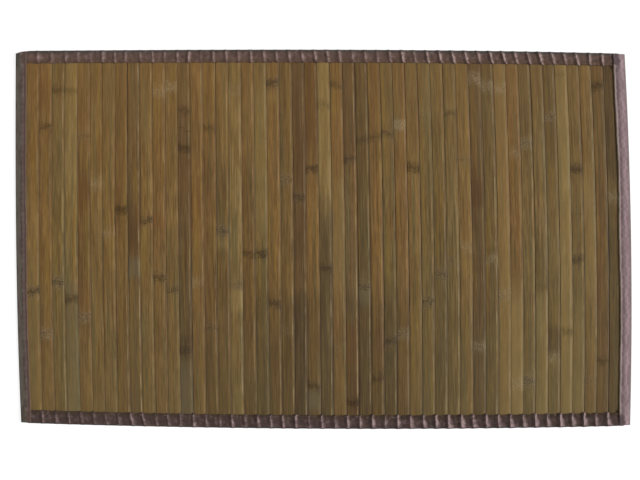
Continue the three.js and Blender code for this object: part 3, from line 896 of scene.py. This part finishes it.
def path_shares(turn_share, cells):
    """How far each point has come along the lower layer, round the fold and over the upper layer."""
    stops = (0, cells.lower, cells.fold, 1)
    return [np.interp(turn_share, stops[part:part + 2], (0, 1)) for part in range(3)]


def finish_tape(tape, edge_name):
    """Gives a tape its thickness, its finish and its place in the frame."""
    bpy.ops.object.select_all(action="DESELECT")
    bpy.context.view_layer.objects.active = tape
    tape.select_set(True)
    solidify = tape.modifiers.new("thickness", "SOLIDIFY")
    solidify.thickness = TAPE * MM
    solidify.offset = -1
    bpy.ops.object.modifier_apply(modifier=solidify.name)
    bpy.ops.object.shade_smooth()
    tape.data.materials.append(woven_tape(f"binding_tape_cotton_{edge_name}", DYES[edge_name]))
    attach(tape, "root")
    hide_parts(f"binding_{edge_name}")


def pleated(x, slant_share, outer_share, curl, rows, side):
    """How high the tape stands in its pleats, its painted light, and the knobs and hollows.

    The height is 1 on a full ridge and 0 between the pleats. The painted light is up to 1 where the
    tape falls away from a ridge, a painted highlight, and below 0 where it climbs to one, painted
    shade.
    """
    count = slat_count - 1
    places = np.array([joint_place(joint, side * HALF_WIDTH) for joint in range(1, slat_count)])
    places = places + at_joints(rows, "shift") + rng.uniform(-UNEVEN_SHIFT, UNEVEN_SHIFT, count)
    heights = at_joints(rows, "height") * (1 + rng.uniform(-UNEVEN_HEIGHT, UNEVEN_HEIGHT, count))
    falls = at_joints(rows, "fall") * (1 + rng.uniform(-UNEVEN_FALL, UNEVEN_FALL, count))
    slants, spreads, climbs = (at_joints(rows, column) for column in ("slant", "spread", "climb"))
    level = x * 0
    painted_light = x * 0
    knobs = x * 0
    hollows = x * 0
    pleats = zip(places, slants, heights, falls, spreads, climbs)
    for place, slant, height, fall, spread, climb in pleats:
        beyond = x - place - slant * slant_share - curl
        falling = np.clip(1 - beyond / (fall + spread * outer_share), 0, 1)
        climbing = np.clip(1 + beyond / climb, 0, 1)
        onto = smooth_step(beyond / RIDGE_ROUND + 0.5)
        level = np.maximum(level, height * smooth_step(climbing) * falling**FALL_POWER)
        before = np.clip(1 + beyond / (climb * PAINTED_SHADE_REACH), 0, 1)
        # Painted highlight where the tape falls away from the ridge, painted shade where it climbs
        painted_light = painted_light + height * (onto * falling - CLIMB_PAINTED_SHADE * (1 - onto) * np.sqrt(before))
        knobs = knobs + height**2 * hill(beyond - KNOB["beyond"], KNOB["reach"])
        hollows = hollows + height**2 * hill(beyond - HOLLOW["beyond"], HOLLOW["reach"])
    return level, painted_light, knobs, hollows


def end_binding(edge_name, side, rows, bunches):
    """The top binding has side 1 and the bottom one side -1."""
    tape, along_share, turn_share = tape_grid(f"binding_tape_{edge_name}", END_CELLS)
    width = END_WIDTH[edge_name]
    half = HALF_LENGTH - END_BINDING_STOP
    x = mix(-half, half, along_share)
    straight = width - END_FOLD_RADIUS

    # The path from the lower inner edge round the fold: first how far out, then how high
    out, turn, back = path_shares(turn_share, END_CELLS)
    into_corner = np.abs(x) - HALF_LENGTH + CORNER_REACH
    floor = CORNER_LIFT * smooth_step(into_corner / CORNER_FADE)
    radius = (BINDING_TOP - floor) / 2
    angle = np.pi * (turn - 0.5)
    across = straight * (out - back) + END_FOLD_RADIUS * np.cos(angle) * (turn > 0) * (back <= 0)
    up = floor + radius + radius * np.sin(angle)

    # Pleats, whose share comes from the table of the section's parts
    key = turn + back
    keys = [part.turn + part.back for part in TAPE_PARTS]
    depth_share, scallop_share, slant_share = (
        np.interp(key, keys, [getattr(part, column) for part in TAPE_PARTS])
        for column in ("depth", "scallop", "slant")
    )
    curl = CURL * np.clip((back - 1 + CURL_REACH) / CURL_REACH, 0, 1) ** 2
    outer_share = np.clip(across / width, 0, 1)
    lift, painted_light_share, knobs, hollows = pleated(x, slant_share, outer_share, curl, rows, side)
    ends = 1 - smooth_step((into_corner + PLEATS_FADE) / PLEATS_FADE)
    lift = lift * ends
    up = up + PLEAT_HEIGHT * depth_share * lift
    across = across - SCALLOP * scallop_share * (1 - lift)
    across = across - POKE[edge_name] * lift * smooth_step((key - POKE_START) / (2 - POKE_START))
    at_edge = (back > 0) * (1 - np.clip(across / EDGE_ZONE, 0, 1))
    across = across + waver(x, EDGE_FRAY) * at_edge

    # Rib, sewing line, wrinkles, bunches, and the edge that is drawn down on the slats
    on_top = smooth_step(back * RELIEF_ONSET)
    inward = np.clip(across, 0, None)
    up = up + on_top * RIB["height"] * hill(inward - RIB["place"], RIB["reach"])
    up = up - on_top * SEWING["depth"] * hill(inward - SEWING["place"], SEWING["reach"])
    up = up + wrinkles(x, inward, turn, on_top)
    up = up + on_top * bunched(bunches, x + HALF_LENGTH, inward)
    knobs = on_top * ends * knobs * hill(inward - KNOB["across"], KNOB["reach"])
    hollows = on_top * ends * hollows * hill(inward - HOLLOW["across"], HOLLOW["reach"])
    up = up + KNOB["height"] * knobs - HOLLOW["depth"] * hollows
    tuck = np.clip(1 - inward / LIP, 0, 1)
    up = up - on_top * LIP_DROP * (1 - np.sqrt(1 - tuck**2))

    droop = END_DROOP[edge_name] * np.clip(1 - (x + half) / DROOP_REACH, 0, 1) ** 2
    inner_edge = HALF_WIDTH + END_OUTSET[edge_name] - width
    y = side * (inner_edge + across - droop * np.clip(across / width, 0, 1))
    write_points(tape, lay(x, y, up))
    path = out * straight + turn * np.pi * END_FOLD_RADIUS + back * straight
    # Painted shade of the outer fold, and the inner edge's tint, partly painted shade
    outer = 1 - smooth_step((key - FOLD_SHADE[edge_name]) / FOLD_SHADE_FADE[edge_name])
    inner = smooth_step((key - INNER_SHADE) / (2 - INNER_SHADE)) * (1 - np.clip(lift, 0, 1))
    write_attribute(tape, "weave", (x, path, x * 0 + WEAVE_SEED[edge_name]))
    # The knobs are painted lighter and the hollows darker: painted highlight and painted shade
    painted_light_share = np.maximum(painted_light_share * ends * depth_share - hollows, knobs)
    write_attribute(tape, "painted_light", (outer, inner * (1 - np.clip(knobs, 0, 1)), painted_light_share))
    if side > 0:
        tape.data.flip_normals()
    finish_tape(tape, edge_name)


# Colours of the dyed tape, painted lighter or darker on each side for how the light falls there,
# the right binding lightest: its body, the darker colour of its mottling and smudges and of the
# painted shade where it climbs to a ridge, the paler pink of the painted highlight on its lips and
# of its pale smudges, the painted shade of the outer fold, the inner edge's tint, and its smudges,
# which run along the tape at the sides. Each noise runs along the tape first and then across it.
SHORT_SMUDGE = Grain(6, 7, 2.9, 3.0, 0.6)
Dye = namedtuple("Dye", "body dark lip outer inner smudge", defaults=(SHORT_SMUDGE,))
DYES = {
    "top": Dye("#685249", "#3e2f2e", "#9b847f", "#45423e", "#5f4838"),
    "bottom": Dye("#51403b", "#312627", "#947f7d", "#3d3735", "#473729"),
    "left": Dye("#685652", "#57463f", "#797064", "#6b6a5e", "#5a473c", Grain(24, 4, 2.9, 3.0, 0.6)),
    "right": Dye("#7d6a6b", "#615153", "#917a7f", "#7d7773", "#ab9c8c", Grain(24, 3, 2.9, 3.0, 0.6)),
}

# A seed for each tape, so that no two are alike
WEAVE_SEED = {"top": 1, "bottom": -1, "left": 2, "right": 4}
MOTTLE = Grain(16, 9, 4.1, 4.0, 0.6)
MOTTLE_DARK = Range(0.35, 0.65, 0, 0.35)
SMUDGE_DARK = Range(0.5, 0.66, 0, 0.4)
SMUDGE_PALE = Range(0.46, 0.32, 0, 0.25)
LINT = Grain(1.0, 1.0, 6.7, 3.0, 0.7)

# Where the painted light shows: painted shade below 0, the lips' pink painted highlight above it,
# where smudges leave it
PAINTED_SHADE_SHOWS = Range(0, -0.5)
HIGHLIGHT_PAST_SMUDGES = Range(0.36, 0.6, 1.25, 0.65)
PAINTED_HIGHLIGHT_SHOWS = Range(0, 0.8)
OUTER_SHOWS = Range(0, 1, 0, 0.85)
INNER_SHOWS = Range(0, 1, 0, 0.8)

# The threads are 0.3 mm apart on the real tape. They are drawn three times as coarse, since
# finer ones would not show. Those that run along it stand out as ribs, under the lint.
THREAD = 0.95
THREAD_DEPTH = 0.12
THREAD_STRENGTH = 0.7
THREAD_RIBS = 0.6
LINT_SHARE = 2.0
# The colour is painted lighter on raised threads and lint and darker between them: painted light on
# the weave
RELIEF_PAINTED_LIGHT = Range(-0.6, 2.6, 0.9, 1.1)
COTTON = {"Roughness": 0.95, "Specular IOR Level": 0.15, "Sheen Weight": 0.1}


def woven_tape(name, dye):
    """Plain woven cotton tape, dyed mauve brown, dull, with painted shade along its fold and a
    painted highlight on its pleats.
    """
    material, tree, shader = new_material(name)
    weave, along, across, _ = read_attribute(tree, "weave")
    _, outer, inner, painted_light = read_attribute(tree, "painted_light")
    smudge = noise(tree, weave, dye.smudge)
    colour = tint(tree, noise(tree, weave, MOTTLE), MOTTLE_DARK, linear(dye.body), linear(dye.dark))
    # Painted shade where the tape climbs, and a painted highlight where it falls away
    colour = tint(tree, painted_light, PAINTED_SHADE_SHOWS, colour, linear(dye.dark))
    highlight_share = sums(tree, "MULTIPLY", painted_light, ramp(tree, smudge, HIGHLIGHT_PAST_SMUDGES))
    colour = tint(tree, highlight_share, PAINTED_HIGHLIGHT_SHOWS, colour, linear(dye.lip))
    colour = tint(tree, outer, OUTER_SHOWS, colour, linear(dye.outer))
    colour = tint(tree, inner, INNER_SHOWS, colour, linear(dye.inner))
    colour = tint(tree, smudge, SMUDGE_DARK, colour, linear(dye.dark))
    colour = tint(tree, smudge, SMUDGE_PALE, colour, linear(dye.lip))

    threads = []
    for place in (along, across):
        turns = sums(tree, "MULTIPLY", place, 2 * math.pi / THREAD)
        threads.append(add(tree, "ShaderNodeMath", {0: turns}, operation="SINE").outputs[0])
    cloth = sums(tree, "MULTIPLY", *threads)
    ribbed = sums(tree, "ADD", cloth, sums(tree, "MULTIPLY", threads[1], THREAD_RIBS))
    lint = sums(tree, "MULTIPLY", noise(tree, weave, LINT), LINT_SHARE)
    relief = sums(tree, "ADD", ribbed, lint)
    set_sockets(tree, shader, {
        "Base Color": lighten(tree, ramp(tree, relief, RELIEF_PAINTED_LIGHT), colour),
        "Normal": emboss(tree, relief, THREAD_DEPTH, THREAD_STRENGTH),
        **COTTON,
    })
    return material


end_binding("top", 1, TOP_PLEATS, TOP_BUNCHES)
end_binding("bottom", -1, BOTTOM_PLEATS, BOTTOM_BUNCHES)


# Side bindings
# The same tape, folded over the outer sides of the first and the last slat. It slopes down from
# the slat to a thin outer fold, lies over the ends of the top and bottom bindings, and is tucked
# in at the mat's corners.

SIDE_CELLS = Cells(560, 44, 0.1, 0.3)
TIP_CELLS = 0.02
TIP_LENGTH = 4
SIDE_FOLD_RADIUS = 1.15
SIDE_WAVES = 2.5
SLOPE_POWER = 1.1
SIDE_RELIEF_ONSET = 6
RAMP = 7
FOLD_OVER = {"back": 3.0, "drop": 0.5, "droop_share": 0.5}
CLEARANCE = 0.3
END_ROUND = 2.6
END_CLOSED = 0.12
SideWidth = namedtuple("SideWidth", "top bottom wave")
SideEnd = namedtuple("SideEnd", "short droop")
SIDE_WIDTHS = {"left": SideWidth(16.2, 15.2, 0.3), "right": SideWidth(18.0, 16.8, 0.6)}
SIDE_ENDS = {
    "left": {"top": SideEnd(0.3, 3.4), "bottom": SideEnd(0.2, 0.3)},
    "right": {"top": SideEnd(0.0, 0.3), "bottom": SideEnd(0.5, 0.2)},
}

# Across a side binding, from its inner edge: a rib where the edge is turned under, the sewing
# line, and a fuller stretch before the slope, all of them fainter over the end bindings
SIDE_RIB = {"place": 1.4, "reach": 1.1, "height": 0.25}
SIDE_SEWING = {"place": 3.8, "reach": 1.3, "depth": 0.1}
SIDE_FULLNESS = {"place": 5.8, "reach": 2.2, "height": 0.3}
FAINTER = 0.6
SIDE_WAVER = Wave((61, 23, 11), 0.35)
SEAM_WAVER = Wave((47, 19, 9), 0.5)
SEAM_DEPTH_WAVER = Wave((37, 17, 7.3), 0.5)

# Bands painted paler and darker along the tape, painted highlight and painted shade across its
# slopes: the painted light at each share of the way from its inner edge to its outer one. They
# drift, and end in a dull patch of painted shade at the corners.
SIDE_BANDS = {
    "left": {0.1: -0.4, 0.3: 0.0, 0.5: 0.5, 0.7: 1.0, 0.9: 0.8},
    "right": {0.15: 0.8, 0.24: 0.2, 0.36: -0.1, 0.48: 0.2, 0.62: 0.7, 0.82: 0.0},
}
BAND_DRIFT = Wave((57, 21, 8.3), 0.16)
CORNER_PAINTED_SHADE = {"reach": 19, "fade": 6, "across": 0.5, "across_fade": 0.15}

# The fold's painted shade and the inner edge's painted tint, by a point's way round the tape:
# painted shade on the left binding, a painted highlight on the right one
SIDE_FOLD_SHADE = {"middle": 0.75, "reach": 0.45}
SIDE_INNER_PAINTED_LIGHT = {"start": 1.8, "fade": 0.12}


def side_binding(edge_name, side, slat_edge):
    """The right binding has side 1 and the left one side -1."""
    tape, along_share, turn_share = tape_grid(f"binding_tape_{edge_name}", SIDE_CELLS)
    widths, ends = SIDE_WIDTHS[edge_name], SIDE_ENDS[edge_name]
    bottom_end = -HALF_WIDTH + ends["bottom"].short
    top_end = HALF_WIDTH - ends["top"].short
    y = np.interp(along_share, [0, TIP_CELLS, 1 - TIP_CELLS, 1],
                  [bottom_end, bottom_end + TIP_LENGTH, top_end - TIP_LENGTH, top_end])

    down_share = (HALF_WIDTH - y) / (2 * HALF_WIDTH)
    wave = widths.wave * np.sin(2 * np.pi * SIDE_WAVES * down_share) * np.sin(np.pi * down_share)
    width = mix(widths.top, widths.bottom, down_share) + wave + waver(y, SIDE_WAVER)

    # How far the tape has risen on to the end bindings, and how far it droops at a corner
    foot = HALF_WIDTH - np.where(y > 0, END_WIDTH["top"], END_WIDTH["bottom"]) - 2 * CLEARANCE - RAMP
    raised = smooth_step((np.abs(y) - foot) / RAMP)
    droop_end = np.where(y > 0, ends["top"].droop, -ends["bottom"].droop)
    from_foot = (np.abs(y) - foot - RAMP) / (HALF_WIDTH - FOLD_OVER["back"] - foot - RAMP)
    to_end = (np.abs(y) - HALF_WIDTH + FOLD_OVER["back"]) / FOLD_OVER["back"]
    droop = droop_end * mix(np.clip(to_end, 0, 1), np.clip(from_foot, 0, 1), FOLD_OVER["droop_share"])

    # The path from the lower inner edge round the thin fold and up the slope
    out, turn, back = path_shares(turn_share, SIDE_CELLS)
    fold_start = width - SIDE_FOLD_RADIUS
    angle = np.pi * (turn - 0.5)
    in_fold = (turn > 0) & (back <= 0)
    across = fold_start * (out - back) + SIDE_FOLD_RADIUS * np.cos(angle) * in_fold
    up = SIDE_FOLD_RADIUS * (1 + np.sin(angle))

    # Upper layer: level over the slat, then a convex slope down to the fold
    ridge = width - mix(slat_edge, END_BINDING_STOP, raised) + 2 * CLEARANCE
    top = mix(BINDING_TOP, OVER_BINDING + CLOTH, raised)
    climb = np.clip((fold_start - across) / (fold_start - ridge), 0, 1) * (back > 0)
    up = up + (top - 2 * SIDE_FOLD_RADIUS) * np.sin(np.pi / 2 * climb) ** SLOPE_POWER
    on_top = smooth_step(back * SIDE_RELIEF_ONSET)
    relief = on_top * (1 - FAINTER * raised)
    for mound in (SIDE_RIB, SIDE_FULLNESS):
        up = up + relief * mound["height"] * hill(across - mound["place"], mound["reach"])
    from_seam = across - SIDE_SEWING["place"] - waver(y, SEAM_WAVER)
    seam_depth = SIDE_SEWING["depth"] * (1 + waver(y, SEAM_DEPTH_WAVER))
    up = up - relief * seam_depth * hill(from_seam, SIDE_SEWING["reach"])
    up = up + wrinkles(y, across, turn, on_top)
    tuck = np.clip(1 - across / LIP, 0, 1) * (back > 0)
    up = up - LIP_DROP * (1 - np.sqrt(1 - tuck**2))

    # The tucked ends close down to the lower layer
    to_tip = np.minimum(y - bottom_end, top_end - y)
    close = np.sqrt(np.clip(1 - (1 - np.clip(to_tip / END_ROUND, 0, 1)) ** 2, 0, 1))
    up = up * mix(END_CLOSED, 1, close)

    x = side * (HALF_LENGTH - width + across)
    write_points(tape, lay(x, y - droop * (across / width) ** 2, up))
    path = out * fold_start + turn * np.pi * SIDE_FOLD_RADIUS + back * fold_start
    key = turn + back
    outer = smooth_step(1 - np.abs(key - SIDE_FOLD_SHADE["middle"]) / SIDE_FOLD_SHADE["reach"])
    inner = smooth_step((key - SIDE_INNER_PAINTED_LIGHT["start"]) / SIDE_INNER_PAINTED_LIGHT["fade"])
    write_attribute(tape, "weave", (y, path, y * 0 + WEAVE_SEED[edge_name]))
    bands = SIDE_BANDS[edge_name]
    drifting = across / width + waver(y, BAND_DRIFT)
    painted_light_share = np.interp(drifting, list(bands), list(bands.values()))
    # A darker patch of painted shade at the corners
    dull = smooth_step((CORNER_PAINTED_SHADE["reach"] - HALF_WIDTH + np.abs(y)) / CORNER_PAINTED_SHADE["fade"])
    dull = dull * smooth_step((CORNER_PAINTED_SHADE["across"] - drifting) / CORNER_PAINTED_SHADE["across_fade"])
    painted_light_share = mix(painted_light_share, -1, dull)
    inner = inner * (1 - dull)
    write_attribute(tape, "painted_light", (outer, inner, painted_light_share * (back > 0)))
    if side < 0:
        tape.data.flip_normals()
    finish_tape(tape, edge_name)


side_binding("left", -1, FIRST_SLAT_EDGE)
side_binding("right", 1, LAST_SLAT_EDGE)


# Floor, light and camera
# A white floor bright enough that no shadow shows on it, and dark under the mat, soft light all
# round that is dimmer overhead, and a low lamp from the right that picks out the slats' right
# shoulders.

FLOOR_SIZE = 12
UNDER_MAT = (0.415, 0.25)
OUTSIDE_GLOW = Range(0, 0.006, 0, 0.85)
SKY_LIGHT = Range(0.55, 0.95, 0.46, 0.12)
WHITE = (1, 1, 1, 1)

bpy.ops.object.select_all(action="DESELECT")
bpy.ops.mesh.primitive_plane_add(size=FLOOR_SIZE, location=(0, 0, 0))
floor = bpy.context.object
floor.name = "floor"
floor_finish, floor_tree, floor_shader = new_material("floor_white")
floor_place = add(floor_tree, "ShaderNodeTexCoord").outputs["Object"]
floor_parts = add(floor_tree, "ShaderNodeSeparateXYZ", {0: floor_place}).outputs
beyond = []
for part, reach in zip(floor_parts, UNDER_MAT):
    out = add(floor_tree, "ShaderNodeMath", {0: part}, operation="ABSOLUTE").outputs[0]
    beyond.append(sums(floor_tree, "SUBTRACT", out, reach))
set_sockets(floor_tree, floor_shader, {
    "Base Color": linear("#8c8c8c"),
    "Roughness": 1.0,
    "Specular IOR Level": 0.0,
    "Emission Color": WHITE,
    "Emission Strength": ramp(floor_tree, sums(floor_tree, "MAXIMUM", *beyond), OUTSIDE_GLOW),
})
floor.data.materials.append(floor_finish)

world = bpy.data.worlds.new("studio")
world.use_nodes = True
bpy.context.scene.world = world
world_tree = world.node_tree
direction = add(world_tree, "ShaderNodeTexCoord").outputs["Generated"]
height = add(world_tree, "ShaderNodeSeparateXYZ", {0: direction}).outputs[2]
set_sockets(world_tree, world_tree.nodes["Background"], {
    "Color": WHITE,
    "Strength": ramp(world_tree, height, SKY_LIGHT),
})

LAMP_ELEVATION = 26
LAMP_ENERGY = 4.3
LAMP_SPREAD = 14
bpy.ops.object.light_add(type="SUN", rotation=(0, math.radians(90 - LAMP_ELEVATION), 0))
lamp = bpy.context.object
lamp.data.energy = LAMP_ENERGY
lamp.data.angle = math.radians(LAMP_SPREAD)

LENS = 70
CAMERA_PLACE = (-0.00485, -0.00107, 1.749)
CAMERA_TURN = 0.264
bpy.ops.object.camera_add(location=CAMERA_PLACE, rotation=(0, 0, math.radians(CAMERA_TURN)))
camera = bpy.context.object
camera.data.lens = LENS
bpy.context.scene.camera = camera
bpy.context.scene.view_settings.view_transform = "Standard"
